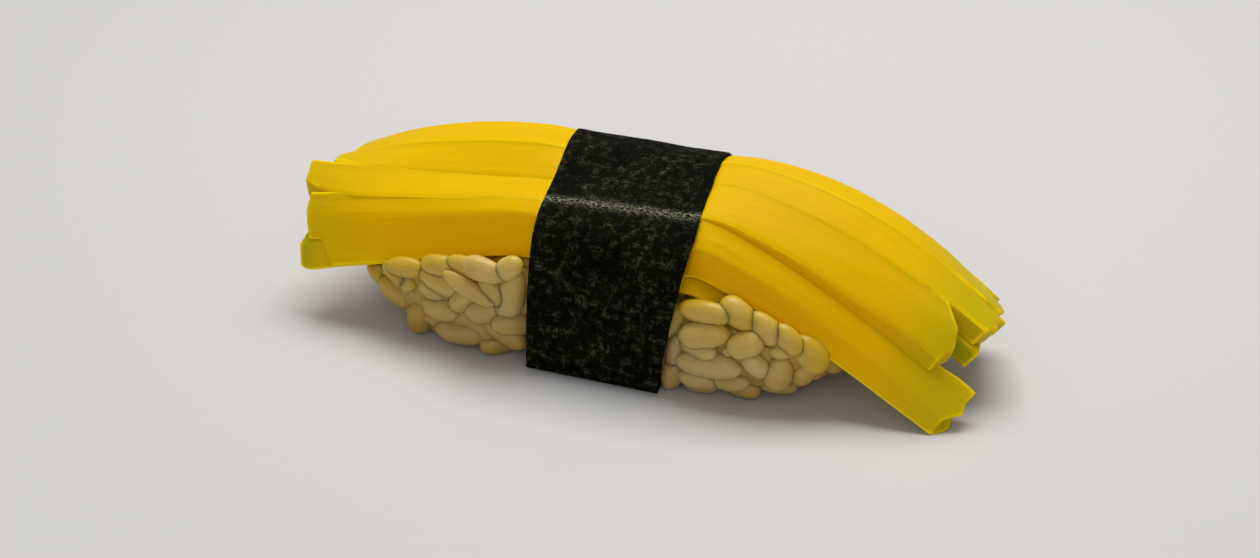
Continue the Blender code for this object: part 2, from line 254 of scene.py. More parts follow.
def makeRadishMaterial():
    look = radishLook
    material, tree, shader = newMaterial("PickledRadish")
    flow = addAttribute(tree, -1300, 200, "flow").outputs["Vector"]
    side = addAttribute(tree, -1300, 0, "side").outputs["Fac"]
    rimHighlight = addAttribute(tree, -1300, -200, "rimHighlight").outputs["Fac"]
    tip = addAttribute(tree, -1300, -400, "tip").outputs["Fac"]
    streak = addStretched(tree, -1000, 300, flow, (0.05, 1.0, 1.0), 1.1, 3.4, 0.45)
    cloud = addStretched(tree, -1000, 60, flow, (0.5, 1.0, 1.0), 0.25, 0.9, 0.3)
    streaks = addRamp(tree, -760, 300, streak, 0.36, 0.68)
    streaks = addMath(tree, -460, 120, "MULTIPLY", streaks, look["streakShare"])
    cloudy = addMath(tree, -460, -40, "MULTIPLY_ADD", cloud, 0.5, 0.5)
    cloudy = addMath(tree, -280, 60, "MULTIPLY", cloudy, look["cloudShare"])
    # painted highlight: sharp outer edges are painted pale
    edge = addMath(tree, 60, 60, "MULTIPLY", rimHighlight, look["rimHighlightShare"])
    # painted shade: faces turned from the top take the side colour
    colour = addMix(tree, -460, 300, side, look["top"], look["side"])
    colour = addMix(tree, -280, 300, streaks, colour, look["pale"])
    colour = addMix(tree, -100, 300, cloudy, colour, look["side"])
    # green towards the free ends, which on the lowest strips' tips is painted shade
    colour = addMix(tree, 60, 300, tip, colour, look["green"])
    colour = addMix(tree, 220, 300, edge, colour, look["pale"])
    tree.links.new(colour, shader.inputs["Base Color"])
    shader.inputs["Subsurface Weight"].default_value = look["subsurface"]
    shader.inputs["Subsurface Radius"].default_value = look["radius"]
    shader.inputs["Subsurface Scale"].default_value = look["scale"]
    shader.inputs["IOR"].default_value = 1.33
    shader.inputs["Specular IOR Level"].default_value = 0.05
    addRoughness(tree, shader, -100, -260, streak, look["roughShare"], look["roughLeast"])
    addBump(tree, shader, 60, -420, streak, look["bump"], look["bumpDepth"])
    return material


riceLook = dict(
    clear=(0.51, 0.385, 0.145, 1), milky=(0.65, 0.525, 0.265, 1),
    # the yellow colour near the radish is its staining plus painted yellow light bounced from it; the
    # deep colour is painted shade plus random variation
    deep=(0.37, 0.21, 0.015, 1), stainAndBounceColour=(0.58, 0.37, 0.008, 1),
    subsurface=0.8, radius=(0.95, 1.0, 1.0), scale=0.002,
    coat=0.08, coatRoughness=0.28,
    roughShare=0.2, roughLeast=0.22,
    bump=0.25, bumpDepth=0.0002,
)


def makeRiceMaterial():
    look = riceLook
    material, tree, shader = newMaterial("CookedRice")
    place = addNode(tree, "ShaderNodeTexCoord", -1200, 100).outputs["Object"]
    stainAndBounceLight = addAttribute(tree, -1200, -100, "stainAndBounceLight").outputs["Fac"]
    toneAndShade = addAttribute(tree, -1200, -300, "toneAndShade").outputs["Fac"]
    gloss = addAttribute(tree, -680, -60, "gloss").outputs["Fac"]
    milky = addStretched(tree, -900, 200, place, (1000, 1000, 1000), 0.45, 2.2, 0.3)
    colour = addRamp(tree, -680, 200, milky, 0.35, 0.65, look["clear"], look["milky"])
    # deep colour: painted shade on low grains and in the gaps, plus random variation
    colour = addMix(tree, -380, 200, toneAndShade, colour, look["deep"])
    # yellow near the radish: its staining plus painted bounced light
    colour = addMix(tree, -200, 200, stainAndBounceLight, colour, look["stainAndBounceColour"])
    tree.links.new(colour, shader.inputs["Base Color"])
    shader.inputs["Subsurface Weight"].default_value = look["subsurface"]
    shader.inputs["Subsurface Radius"].default_value = look["radius"]
    shader.inputs["Subsurface Scale"].default_value = look["scale"]
    shader.inputs["Specular IOR Level"].default_value = 0.32
    shader.inputs["IOR"].default_value = 1.42
    coat = addMath(tree, -380, -40, "MULTIPLY", gloss, look["coat"])
    tree.links.new(coat, shader.inputs["Coat Weight"])
    shader.inputs["Coat Roughness"].default_value = look["coatRoughness"]
    addRoughness(tree, shader, -380, -160, milky, look["roughShare"], look["roughLeast"])
    addBump(tree, shader, -100, -320, milky, look["bump"], look["bumpDepth"])
    return material


def addFibres(tree, x, y, vector, scale, stretch, thinness, curl):
    # thin curling lines: the places where a noise crosses its middle value
    scaled = addNode(tree, "ShaderNodeVectorMath", x, y, operation="MULTIPLY")
    tree.links.new(vector, scaled.inputs[0])
    scaled.inputs[1].default_value = stretch
    texture = addNode(tree, "ShaderNodeTexNoise", x + 180, y)
    texture.inputs["Scale"].default_value = scale
    texture.inputs["Detail"].default_value = 2.0
    texture.inputs["Distortion"].default_value = curl
    tree.links.new(scaled.outputs[0], texture.inputs["Vector"])
    away = addMath(tree, x + 360, y, "SUBTRACT", texture.outputs[0], 0.5)
    away = addMath(tree, x + 520, y, "ABSOLUTE", away)
    away = addMath(tree, x + 680, y, "MULTIPLY", away, thinness)
    return addMath(tree, x + 840, y, "SUBTRACT", 1.0, away, clamp=True)


noriLook = dict(
    dark=(0.0007, 0.0008, 0.0003, 1), olive=(0.0042, 0.0044, 0.0012, 1),
    # foldHighlight is the pale colour of the painted highlight along the fold
    fibre=(0.020, 0.021, 0.008, 1), bright=(0.14, 0.14, 0.075, 1), foldHighlight=(0.29, 0.285, 0.20, 1),
    grainShare=0.28, lineShare=0.60, sparse=0.25, lineRelief=0.35,
    roughShare=0.35, roughLeast=0.34,
    bump=0.9, bumpDepth=0.00020,
)


def makeNoriMaterial():
    look = noriLook
    material, tree, shader = newMaterial("RoastedNori")
    sheet = addNode(tree, "ShaderNodeUVMap", -2200, 100, uv_map="sheet").outputs[0]
    fold = addAttribute(tree, -2200, -300, "fold").outputs["Fac"]
    patches = addStretched(tree, -1500, -60, sheet, (1.0, 1.0, 1.0), 0.16, 0.7, 0.45)
    patches = addRamp(tree, -1200, -60, patches, 0.43, 0.62)
    grain = addStretched(tree, -1500, 200, sheet, (0.6, 1.2, 1.0), 2.6, 7.5, 0.5)
    level = addFibres(tree, -2000, 460, sheet, 0.8, (0.26, 1.6, 1.0), 15.0, 0.6)
    curled = addFibres(tree, -2000, 700, sheet, 0.8, (1.0, 1.0, 1.0), 24.0, 1.8)
    steep = addFibres(tree, -2000, 940, sheet, 0.6, (1.3, 0.45, 1.0), 22.0, 1.0)
    # the fibres come and go, and are denser in some patches
    breaks = addStretched(tree, -1500, 1100, sheet, (1.0, 1.0, 1.0), 0.9, 2.6, 0.4)
    breaks = addRamp(tree, -1200, 1100, breaks, 0.49, 0.62)
    dense = addMath(tree, -1000, 420, "MULTIPLY_ADD", patches, 1.0 - look["sparse"], look["sparse"])
    lines = addMath(tree, -1160, 700, "MAXIMUM", curled, steep)
    lines = addMath(tree, -1000, 600, "MAXIMUM", level, lines)
    lines = addMath(tree, -820, 560, "MULTIPLY", lines, breaks)
    lines = addMath(tree, -660, 520, "MULTIPLY", lines, dense)
    grains = addRamp(tree, -1200, 200, grain, 0.44, 0.70)
    grains = addMath(tree, -620, 80, "MULTIPLY", grains, look["grainShare"])
    threads = addMath(tree, -440, 80, "MULTIPLY", lines, look["lineShare"])
    # painted highlight: the fold is painted pale, broken into specks
    specks = addStretched(tree, -1500, -420, sheet, (0.8, 1.2, 1.0), 2.4, 5.5, 0.6)
    specks = addRamp(tree, -1200, -420, specks, 0.47, 0.58)
    sparkle = addMath(tree, -620, -160, "MULTIPLY", fold, specks)
    colour = addMix(tree, -620, 300, patches, look["dark"], look["olive"])
    colour = addMix(tree, -440, 300, grains, colour, look["fibre"])
    colour = addMix(tree, -260, 300, threads, colour, look["bright"])
    colour = addMix(tree, -80, 300, sparkle, colour, look["foldHighlight"])
    tree.links.new(colour, shader.inputs["Base Color"])
    shader.inputs["IOR"].default_value = 1.40
    shader.inputs["Specular IOR Level"].default_value = 0.03
    addRoughness(tree, shader, -260, -260, grain, look["roughShare"], look["roughLeast"])
    height = addMath(tree, -620, -420, "MULTIPLY", lines, look["lineRelief"])
    height = addMath(tree, -440, -420, "ADD", grain, height)
    addBump(tree, shader, -80, -420, height, look["bump"], look["bumpDepth"])
    return material


cameraPlace = dict(lens=70.0, yaw=23.0, elevation=26.0, distance=278.0, aim=(-1.545, -0.86, 6.9))


def addCamera():
    yaw = math.radians(cameraPlace["yaw"])
    lift = math.radians(cameraPlace["elevation"])
    ahead = Vector((-math.sin(yaw) * math.cos(lift), math.cos(yaw) * math.cos(lift), -math.sin(lift)))
    place = Vector(cameraPlace["aim"]) - ahead * cameraPlace["distance"]
    bpy.ops.object.camera_add(location=place * mm)
    camera = bpy.context.object
    camera.name = "Camera"
    camera.rotation_euler = ahead.to_track_quat("-Z", "Y").to_euler()
    camera.data.lens = cameraPlace["lens"]
    camera.data.sensor_width = 36.0
    camera.data.clip_start = 0.005
    scene.camera = camera


def addStudio():
    bpy.ops.mesh.primitive_plane_add(size=6.0)
    floor = bpy.context.object
    floor.name = "StudioFloor"
    material, tree, shader = newMaterial("PaleFloor")
    shader.inputs["Base Color"].default_value = (0.62, 0.61, 0.60, 1)
    shader.inputs["Roughness"].default_value = 0.6
    floor.data.materials.append(material)
    lamps = (
        ("KeySoftbox", (-0.03, 0.14, 0.44), 0.34, 2.1, (1.0, 0.985, 0.96)),
        ("FrontFill", (0.16, -0.60, 0.30), 0.50, 1.0, (1.0, 1.0, 1.0)),
    )
    for name, place, size, power, colour in lamps:
        bpy.ops.object.light_add(type="AREA", location=place)
        lamp = bpy.context.object
        lamp.name = name
        lamp.data.size = size
        lamp.data.energy = power
        lamp.data.color = colour
        lamp.rotation_euler = (-Vector(place)).to_track_quat("-Z", "Y").to_euler()
    world = bpy.data.worlds.new("Studio")
    world.use_nodes = True
    world.node_tree.nodes["Background"].inputs[0].default_value = (0.80, 0.81, 0.83, 1)
    world.node_tree.nodes["Background"].inputs[1].default_value = 0.30
    scene.world = world


addCamera()
addStudio()
print("camera and studio ready")

# heights of the outer face from the inner end of the lap round to the outer end:
# Y, height at the left edge, height at the right edge, in millimetres
noriBand = dict(
    left=-9.92, right=8.48, skew=0.13, spreadLeft=0.6, taperRight=3.4, taperHeight=18.0,
    lap=((6.0, 0.65, 0.65), (1.6, 0.62, 0.62), (-1.4, 0.0, 0.0)),
    front=((-12.2, 0.0, 0.0), (-13.5, 1.2, 1.2), (-13.8, 5.0, 5.0), (-13.6, 9.4, 9.4),
           (-13.0, 13.0, 13.0), (-12.3, 15.2, 15.1), (-11.2, 16.7, 16.7), (-9.6, 17.8, 18.2),
           (-7.6, 18.55, 19.35)),
    back=((-3.0, 19.75, 20.85), (1.2, 21.3, 21.95), (3.6, 21.6, 21.9), (6.3, 21.1, 21.1),
          (10.8, 17.8, 17.6), (12.6, 15.6, 15.4), (13.4, 12.6, 12.4), (13.8, 9.0, 9.0),
          (13.8, 5.0, 5.0), (13.5, 1.2, 1.2), (12.2, 0.0, 0.0), (1.6, 0.0, 0.0)),
    thickness=0.24, across=90, around=380,
    raggedEdge=((0.10, 0.55, 3.0, 9.0), (0.05, 2.6, 5.0, 7.0)),
    relief=((0.10, 0.16, 0.2, 1.0), (0.05, 0.5, 0.7, 2.0), (0.022, 1.6, 1.9, 3.0)),
    creaseWidth=0.55, creaseHeight=0.05, creaseRough=0.09,
    flatBelow=0.8, flatShare=0.1,
)


def bandEdges(y, z):
    low = 1.0 - min(max(z / noriBand["taperHeight"], 0.0), 1.0)
    left = noriBand["left"] - noriBand["skew"] * y - noriBand["spreadLeft"] * low
    right = noriBand["right"] - noriBand["skew"] * y - noriBand["taperRight"] * low
    return left, right


def smoothLine(points, steps):
    # points along a smooth line through the given ones
    line = []
    for i in range(len(points) - 1):
        before = points[max(i - 1, 0)]
        after = points[min(i + 2, len(points) - 1)]
        start, end = points[i], points[i + 1]
        for k in range(steps):
            t = k / steps
            line.append(0.5 * ((2 * start) + (end - before) * t
                               + (2 * before - 5 * start + 4 * end - after) * t * t
                               + (3 * start - before - 3 * end + after) * t * t * t))
    line.append(points[-1])
    return line


def bandProfile():
    # places at even steps round the sheet, and where its fold is: it bends sharply only there,
    # so the two sides of the fold are smoothed apart
    lower = [Vector(p) for p in noriBand["lap"] + noriBand["front"]]
    upper = [Vector(p) for p in noriBand["front"][-1:] + noriBand["back"]]
    first = smoothLine(lower, steps=12)
    second = smoothLine(upper, steps=12)
    line = first + second[1:]
    lengths = [0.0]
    for a, b in zip(line, line[1:]):
        rise = (b.y + b.z - a.y - a.z) / 2
        lengths.append(lengths[-1] + Vector((b.x - a.x, rise)).length)
    foldAt = lengths[len(first) - 1]
    even = []
    count = noriBand["around"]
    k = 0
    for i in range(count + 1):
        want = lengths[-1] * i / count
        while k < len(lengths) - 2 and lengths[k + 1] < want:
            k += 1
        share = (want - lengths[k]) / max(lengths[k + 1] - lengths[k], 1e-9)
        even.append((want, line[k].lerp(line[k + 1], share)))
    return even, foldAt


def makeNori():
    profile, foldAt = bandProfile()
    across, around = noriBand["across"], noriBand["around"]
    bpy.ops.mesh.primitive_grid_add(x_subdivisions=across, y_subdivisions=around, size=1.0)
    piece = bpy.context.object
    piece.name = "NoriBand"
    piece.data.name = "NoriBand"
    grid = coords(piece) * mm       # the grid is one unit across, so its places are shares
    fold, sheet = [], []
    place = np.zeros_like(grid)
    for i, (gx, gy, gz) in enumerate(grid):
        step = round((gy + 0.5) * around)
        share = gx + 0.5
        length, point = profile[step]
        before = profile[max(step - 2, 0)][1]
        after = profile[min(step + 2, around)][1]
        run = after - before
        y, z = point.x, lerp(point.y, point.z, share)
        out = Vector((0.0, -lerp(run.y, run.z, share), run.x)).normalized()
        left, right = bandEdges(y, z)
        ragged = 0.0
        for depth, scale, leftPhase, rightPhase in noriBand["raggedEdge"]:
            phase = leftPhase if share < 0.5 else rightPhase
            ragged += depth * noise.noise(Vector((length * scale, phase, 0.0)))
        x = lerp(left, right, share) + ragged * (1.0 - 4.0 * share * (1.0 - share))
        # the fold wanders a little and its crest is rough
        away = abs(length - foldAt - 0.25 * noise.noise(Vector((x * 0.5, 0.0, 4.0))))
        creased = math.exp(-(away / noriBand["creaseWidth"]) ** 2)
        rough = noise.noise(Vector((x * 2.3, length * 2.2, 8.0)))
        relief = creased * (noriBand["creaseHeight"] + noriBand["creaseRough"] * rough)
        for depth, xScale, lengthScale, phase in noriBand["relief"]:
            relief += depth * noise.noise(Vector((x * xScale, length * lengthScale, phase)))
        if z < noriBand["flatBelow"]:
            relief *= noriBand["flatShare"]
        place[i] = Vector((x, y, z)) + out * relief
        place[i, 2] = max(place[i, 2], 0.0)
        fold.append(creased)
        sheet.append((x, length))
    setCoords(piece, place)
    setAttribute(piece, "fold", fold)
    layer = piece.data.uv_layers.new(name="sheet")
    for loop in piece.data.loops:
        layer.data[loop.index].uv = sheet[loop.vertex_index]
    solid = piece.modifiers.new("Thickness", "SOLIDIFY")
    solid.thickness = noriBand["thickness"] * mm
    solid.offset = -1.0
    applyAll(piece)
    return piece


nori = makeNori()
print("nori band:", len(nori.data.polygons), "faces")

radishStrips = dict(
    # dip of the CAD strips beside the band, then the dip under the nori and what shows beside it
    squeeze=0.8, squeezeRun=2.2, squeezeHeight=18.0, squeezeBend=-8.0, squeezeLean=1.6,
    hiddenDip=0.85, hiddenRun=0.8, hiddenFrom=-0.6, dip=0.22, dipRun=3.5,
    sharp=52, crease=0.85, softCrease=0.35,
    fatten=0.12, widen=0.45, flatten=0.2, freeFrom=33.0, freeRun=4.0,
    # the front strip's lap: how deep it is at the band and at the left end, and where it runs
    lap=(2.1, 3.0), lapDeepensFrom=-9.6, lapDeepensRun=27.0, lapForward=0.42,
    lapStart=-36.4, lapStop=6.0,
    hang=1.0, hangFrom=20.0, hangRun=8.0,
    underBack=0.3, underShorter=0.75, underRound=2.0, underTip=0.42,
    greenFrom=29.0, greenRun=9.0, greenLeft=0.3, greenRight=0.5,
    # relief: height, scale along and scale across
    relief=((0.022, 0.045, 1.3), (0.010, 0.12, 3.4), (0.05, 0.10, 0.35)),
    rimFrom=0.2, rimRange=0.45,
)


def outsideBand(x, y, z):
    left, right = bandEdges(y, z)
    return max(left - x, x - right)


def stripLine(co):
    # where the strip's sides, top and bottom are, for each millimetre along it
    firstX = co[:, 0].min()
    bins = (co[:, 0] - firstX).astype(int)
    count = bins.max() + 1
    line = np.zeros((count, 4))
    for b in range(count):
        part = co[bins == b]
        if len(part) < 6:
            line[b] = line[b - 1]
            continue
        line[b] = (part[:, 1].min(), part[:, 1].max(), part[:, 2].min(), part[:, 2].max())
    for c in range(4):
        line[:, c] = np.convolve(np.pad(line[:, c], 2, mode="edge"), np.ones(5) / 5, mode="valid")
    at = np.clip(co[:, 0] - firstX - 0.5, 0, count - 1.001)
    low = at.astype(int)
    mix = (at - low)[:, None]
    return line[low] * (1 - mix) + line[np.minimum(low + 1, count - 1)] * mix


def makeStrip(nodeName, name, seed):
    look = radishStrips
    piece = mergedCopy(nodeName, name)
    editAll(piece)
    bpy.ops.mesh.tris_convert_to_quads(face_threshold=math.radians(60), shape_threshold=math.radians(80))
    objectMode()
    # the CAD strips dip beside the band; these stay level
    co = coords(piece)
    for i, (x, y, z) in enumerate(co):
        bend = look["squeezeBend"]
        along = y if y > bend else bend + look["squeezeLean"] * (y - bend)
        outside = max(outsideBand(x, along, look["squeezeHeight"]), 0.0)
        co[i, 2] += look["squeeze"] * (1.0 - ease(outside / look["squeezeRun"]))
    setCoords(piece, co)
    # the cut ends keep crisp edges
    editAll(piece)
    bpy.ops.mesh.select_all(action="DESELECT")
    bpy.ops.mesh.edges_select_sharp(sharpness=math.radians(look["sharp"]))
    bpy.ops.transform.edge_crease(value=look["softCrease"] if "under" in nodeName else look["crease"])
    objectMode()
    for label, kind, levels in (("Split", "SIMPLE", 1), ("Rounded", "CATMULL_CLARK", 2)):
        rounded = piece.modifiers.new(label, "SUBSURF")
        rounded.subdivision_type = kind
        rounded.levels = levels
        rounded.render_levels = levels
    applyAll(piece)
    activate(piece)
    bpy.ops.object.shade_smooth()
    shapeStrip(piece, nodeName, seed)
    return piece


def shapeStrip(piece, nodeName, seed):
    look = radishStrips
    co = coords(piece)
    normals = np.array([v.normal for v in piece.data.vertices])
    near = stripLine(co)
    middle = (near[:, 0] + near[:, 1]) / 2
    width = near[:, 1] - near[:, 0]
    thick = np.maximum(near[:, 3] - near[:, 2], 0.5)
    across = co[:, 1] - middle
    deep = near[:, 3] - co[:, 2]
    flow = np.stack([co[:, 0] + seed * 37.0, across + seed * 5.3, deep], axis=1)
    # neighbours press into each other, so each strip is a little wider than its seams
    frontSide = 0 if nodeName in ("strip_front", "strip_under_front") else 1
    backSide = 0 if nodeName == "strip_back" else 1
    free = np.clip((np.abs(co[:, 0]) - look["freeFrom"]) / look["freeRun"], 0, 1)
    grow = np.where(across < 0, frontSide, backSide) * look["widen"] * (1.0 - free)
    co[:, 1] += across / (width / 2) * grow
    firstX = co[:, 0].min()
    for i, (x, y, z) in enumerate(co):
        outside = outsideBand(x, y, z)
        onTop = ease(1.0 - deep[i] / 0.9)
        aside = across[i] / width[i]
        down = deep[i] / thick[i]
        co[i, 2] += look["flatten"] * onTop * min(abs(aside) * 2.0, 1.0) ** 2
        co[i, 2] -= look["dip"] * (1.0 - ease(outside / look["dipRun"]))
        co[i, 2] -= look["hiddenDip"] * (1.0 - ease((outside - look["hiddenFrom"]) / look["hiddenRun"]))
        if nodeName == "strip_middle":
            # its free side hangs down onto the strip below
            hang = ease((x - look["hangFrom"]) / look["hangRun"]) * ease(down * 1.5 - 0.3)
            co[i, 2] -= look["hang"] * hang
        if nodeName == "strip_front":
            # its front face laps over the strip that it lies on, more so towards the left end
            share = min(max((look["lapDeepensFrom"] - x) / look["lapDeepensRun"], 0.0), 1.0)
            lap = lerp(*look["lap"], share)
            lap *= ease((x - look["lapStart"]) / 2.5) * ease((look["lapStop"] - x) / 4.0)
            lap *= ease(down * 2.0 - 0.9) * ease(0.2 - aside * 2.4)
            co[i, 2] -= lap
            co[i, 1] -= look["lapForward"] * lap
        if nodeName == "strip_under_front":
            # it keeps back behind that face, stops short on the right and is round at the left
            co[i, 1] += look["underBack"] * ease((x - look["lapStart"]) / 2.5) * ease(-aside * 3.0)
            if x > look["lapStop"]:
                co[i, 0] = lerp(look["lapStop"], x, look["underShorter"])
            share = min((x - firstX) / look["underRound"], 1.0)
            height = (near[i, 2] + near[i, 3]) / 2
            keep = lerp(look["underTip"], 1.0, math.sqrt(1.0 - (1.0 - share) ** 2))
            co[i, 2] = lerp(height, co[i, 2], keep)
        push = look["fatten"]
        for depth, along, sideways in look["relief"]:
            push += depth * noise.noise(Vector(flow[i] * (along, sideways, sideways)))
        co[i] += normals[i] * push
    setCoords(piece, co)
    setVectorAttribute(piece, "flow", flow)
    # painted shade: front and end faces are painted darker and more orange than the top, as the light
    # falls on them, less so towards the ends
    facing = np.clip(1.0 - normals[:, 2] * 1.25, 0, 1)
    far = np.clip((np.abs(co[:, 0]) - 16.0) / 18.0, 0, 1)
    setAttribute(piece, "side", facing * facing * (3 - 2 * facing) * (1.0 - 0.75 * far))
    # the mask of the painted highlight along sharp outer edges
    rimHighlight = convexity(piece)
    # the free ends turn greenish, and the tips of the two lowest strips most of all, where the extra
    # green is painted shade
    tip = np.where(co[:, 0] > 0, look["greenRight"], look["greenLeft"])
    tip = tip * np.clip((np.abs(co[:, 0]) - look["greenFrom"]) / look["greenRun"], 0, 1)
    if nodeName == "strip_under_front":
        # on this strip the painted edge highlight is kept only towards its left end
        rimHighlight = rimHighlight * np.clip((-8.0 - co[:, 0]) / 2.0, 0, 1)
        # painted shade on the left tip of the lowest strip
        tip += 0.6 * np.clip((-36.0 - co[:, 0]) / 3.0, 0, 1)
    if nodeName == "strip_under_ridge":
        # painted shade on this low strip's right end
        tip += 0.35 * np.clip((co[:, 0] - 35.0) / 2.0, 0, 1)
    setAttribute(piece, "rimHighlight", rimHighlight)
    setAttribute(piece, "tip", tip)


def convexity(piece):
    # 1 on sharp outer edges, 0 on flats
    co = coords(piece)
    edges = np.array([e.vertices[:] for e in piece.data.edges])
    normals = np.array([v.normal for v in piece.data.vertices])
    total = np.zeros(len(co))
    number = np.zeros(len(co))
    a, b = edges[:, 0], edges[:, 1]
    step = co[b] - co[a]
    length = np.linalg.norm(step, axis=1) + 1e-6
    for end, sign in ((a, -1.0), (b, 1.0)):
        np.add.at(total, end, sign * (step * normals[end]).sum(1) / length ** 2)
        np.add.at(number, end, 1)
    value = total / np.maximum(number, 1)
    for _ in range(2):
        spread = np.zeros(len(co))
        np.add.at(spread, a, value[b])
        np.add.at(spread, b, value[a])
        value = 0.5 * value + 0.5 * spread / np.maximum(number, 1)
    return np.clip((value - radishStrips["rimFrom"]) / radishStrips["rimRange"], 0, 1)


stripNames = dict(
    strip_front="RadishFront", strip_middle="RadishMiddle", strip_ridge="RadishRidge",
    strip_crest="RadishCrest", strip_back="RadishBack",
    strip_under_front="RadishUnderFront", strip_under_ridge="RadishUnderRidge",
)
strips = {}
for number, (nodeName, name) in enumerate(stripNames.items()):
    strips[nodeName] = makeStrip(nodeName, name, number)
print("radish strips:", sum(len(s.data.polygons) for s in strips.values()), "faces")

riceGrains = dict(
    length=6.3, width=3.15, depth=2.8, frontDepth=0.86,
    # the two layers of the heap: depth of their middles under its skin
    layerDepths=(1.25, 3.3), tries=7000, spacing=2.6, clearOfFront=1.9, clearOfBand=1.6,
    # radish this close above hides the grains that lie this near the middle, on slopes this flat
    coverStart=0.05, coverReach=1.2, coverHalf=8.5, coverSlope=0.3,
    rounds=36, reach=0.74, searchRange=7.0, sink=0.42, innerSink=3.0,
    pressedTo=13.35, pressedLean=0.14, floorGap=0.02,
    # yellow near the radish: its staining plus painted bounced light
    stainAndBounceLight=0.97, stainAndBounceFrom=1.1, stainAndBounceRun=2.6,
    # lowShade paints low grains darker as shade
    toneChance=0.35, lowShade=0.6, toneOut=0.3, toneLeft=0.45, toneMost=0.9,
)

# what fills the heap under its grains, and what fills the band
riceHeap = dict(
    inset=0.85, voxel=0.5, bumps=((0.55, 0.35), (1.3, 0.2)),
    fillingInset=0.18, fillingTop=18.2, fillingEnds=0.9, afterLap=8.5,
    # the core's yellow near the radish is staining plus painted bounced light, and its deep colour is
    # painted shade in the gaps
    stainAndBounceLight=0.9, stainAndBounceRun=2.4, toneAndShade=0.7,
)


def makeGrain(name, segments, rings):
    # a round grain, 1 long and 1 wide, with its rings along X
    bpy.ops.mesh.primitive_uv_sphere_add(segments=segments, ring_count=rings, radius=0.5)
    grain = bpy.context.object
    grain.name = name
    editAll(grain)
    bpy.ops.transform.rotate(value=math.pi / 2, orient_axis="Y", orient_type="GLOBAL",
                             center_override=(0, 0, 0))
    objectMode()
    return grain


def shapeGrain(grain, rng):
    # blunt ends, a flattened side, a slight bend, and a nick where the germ was
    bend = rng.uniform(-0.10, 0.16)
    blunt = rng.uniform(0.46, 0.56)
    taper = rng.uniform(-0.18, 0.18)
    flat = rng.uniform(0.0, 0.12)
    for v in grain.data.vertices:
        x, y, z = v.co
        s = x * 2
        keep = math.sqrt(max(1.0 - abs(s) ** 2, 0.0))
        full = max(1.0 - abs(s) ** 2.5, 0.0) ** blunt
        grow = (full / keep) if keep > 0.05 else 1.15
        y *= grow * (1 + taper * s)
        z *= grow * (1 + taper * s)
        if z < -0.3:
            z = -0.3 - (abs(z) - 0.3) * (1 - flat * 4)
        z += bend * (s * s - 0.35) * 0.5
        if s > 0.72 and y > 0:
            y -= 0.10 * (s - 0.72) / 0.28
        v.co = (x, y, z)


def grainShapes(prefix, count, segments, rings, seed):
    rng = random.Random(seed)
    shapes = []
    for number in range(count):
        grain = makeGrain(f"{prefix}{number}", segments, rings)
        shapeGrain(grain, rng)
        activate(grain)
        bpy.ops.object.shade_smooth()
        shapes.append(grain)
    return shapes


# grains that stand out at the front: X, height, length, width, tilt in degrees, and how far
# they stand out from the heap
frontGrains = (
    (-28.6, 5.6, 6.2, 2.7, -14, -0.2), (-24.2, 7.4, 2.6, 2.3, -60, 0.1),
    (-22.6, 5.6, 4.6, 2.2, 0, -0.9), (-19.8, 8.3, 6.2, 3.3, -16, -0.3),
    (-15.6, 8.7, 7.0, 2.2, -24, 0.75), (-23.4, 2.6, 4.7, 3.2, 74, 0.1),
    (-19.8, 5.0, 5.0, 3.0, -6, 0.1), (-14.2, 5.9, 4.9, 3.3, 14, 0.2),
    (-17.4, 2.2, 6.8, 3.2, 5, -0.1), (-12.0, 3.4, 6.2, 2.8, -24, -0.2),
    (-10.6, 8.2, 7.2, 3.6, 78, -0.2), (-13.4, 11.5, 5.4, 2.9, -8, 1.4),
    (-10.6, 12.2, 3.4, 2.6, 30, 1.3), (12.0, 10.9, 6.4, 2.8, 3, -0.2),
    (12.3, 8.4, 6.1, 3.2, 16, 0.4), (17.0, 8.1, 4.3, 3.2, 26, 0.5),
    (12.8, 4.8, 7.6, 3.1, 3, 0.6), (8.4, 4.6, 4.8, 2.4, 86, -0.1),
    (8.1, 1.9, 4.2, 2.8, 72, 0.1), (11.5, 2.5, 4.4, 2.2, -4, 0.0),
    (15.1, 2.8, 4.4, 2.4, 4, 0.0), (11.4, 0.9, 4.0, 2.0, 4, -0.3),
    (15.9, 1.4, 4.6, 2.4, -12, -0.2), (18.0, 5.6, 3.8, 2.9, -44, 0.1),
    (20.5, 4.8, 4.2, 3.2, 80, 0.4), (19.6, 1.6, 4.6, 2.2, -10, -0.2),
    (19.8, 8.6, 4.2, 3.1, -26, 0.0), (23.6, 7.2, 5.0, 3.4, -44, 0.3),
    (22.8, 4.1, 3.8, 2.9, 60, 0.0), (25.2, 4.9, 3.4, 2.3, -40, 0.0),
    (-21.0, 6.9, 4.0, 2.6, -30, -0.3), (-13.0, 8.6, 4.4, 2.8, -50, 0.0),
    (-25.6, 7.9, 4.2, 2.6, -30, 0.2),
)

# grains tucked under the lowest edge of the radish, and one at the heap's end: X, Y, height,
# length, width and tilt
tuckedGrains = (
    (-26.2, -10.2, 5.0, 5.4, 3.4, -24), (-24.2, -12.0, 9.0, 5.0, 2.6, 6),
    (-19.6, -12.2, 10.2, 5.2, 2.6, 2), (-16.4, -12.4, 10.8, 5.0, 2.6, -10),
    (15.8, -12.0, 11.0, 5.0, 3.0, -28), (18.6, -11.8, 9.9, 4.6, 2.9, -34),
    (21.2, -11.6, 8.9, 4.4, 2.8, -36),
)

riceCore = mergedCopy("rice", "RiceCore")
riceTree = treeOf([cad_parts["rice"]])
stripTree = treeOf([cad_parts[n] for n in stripNames])


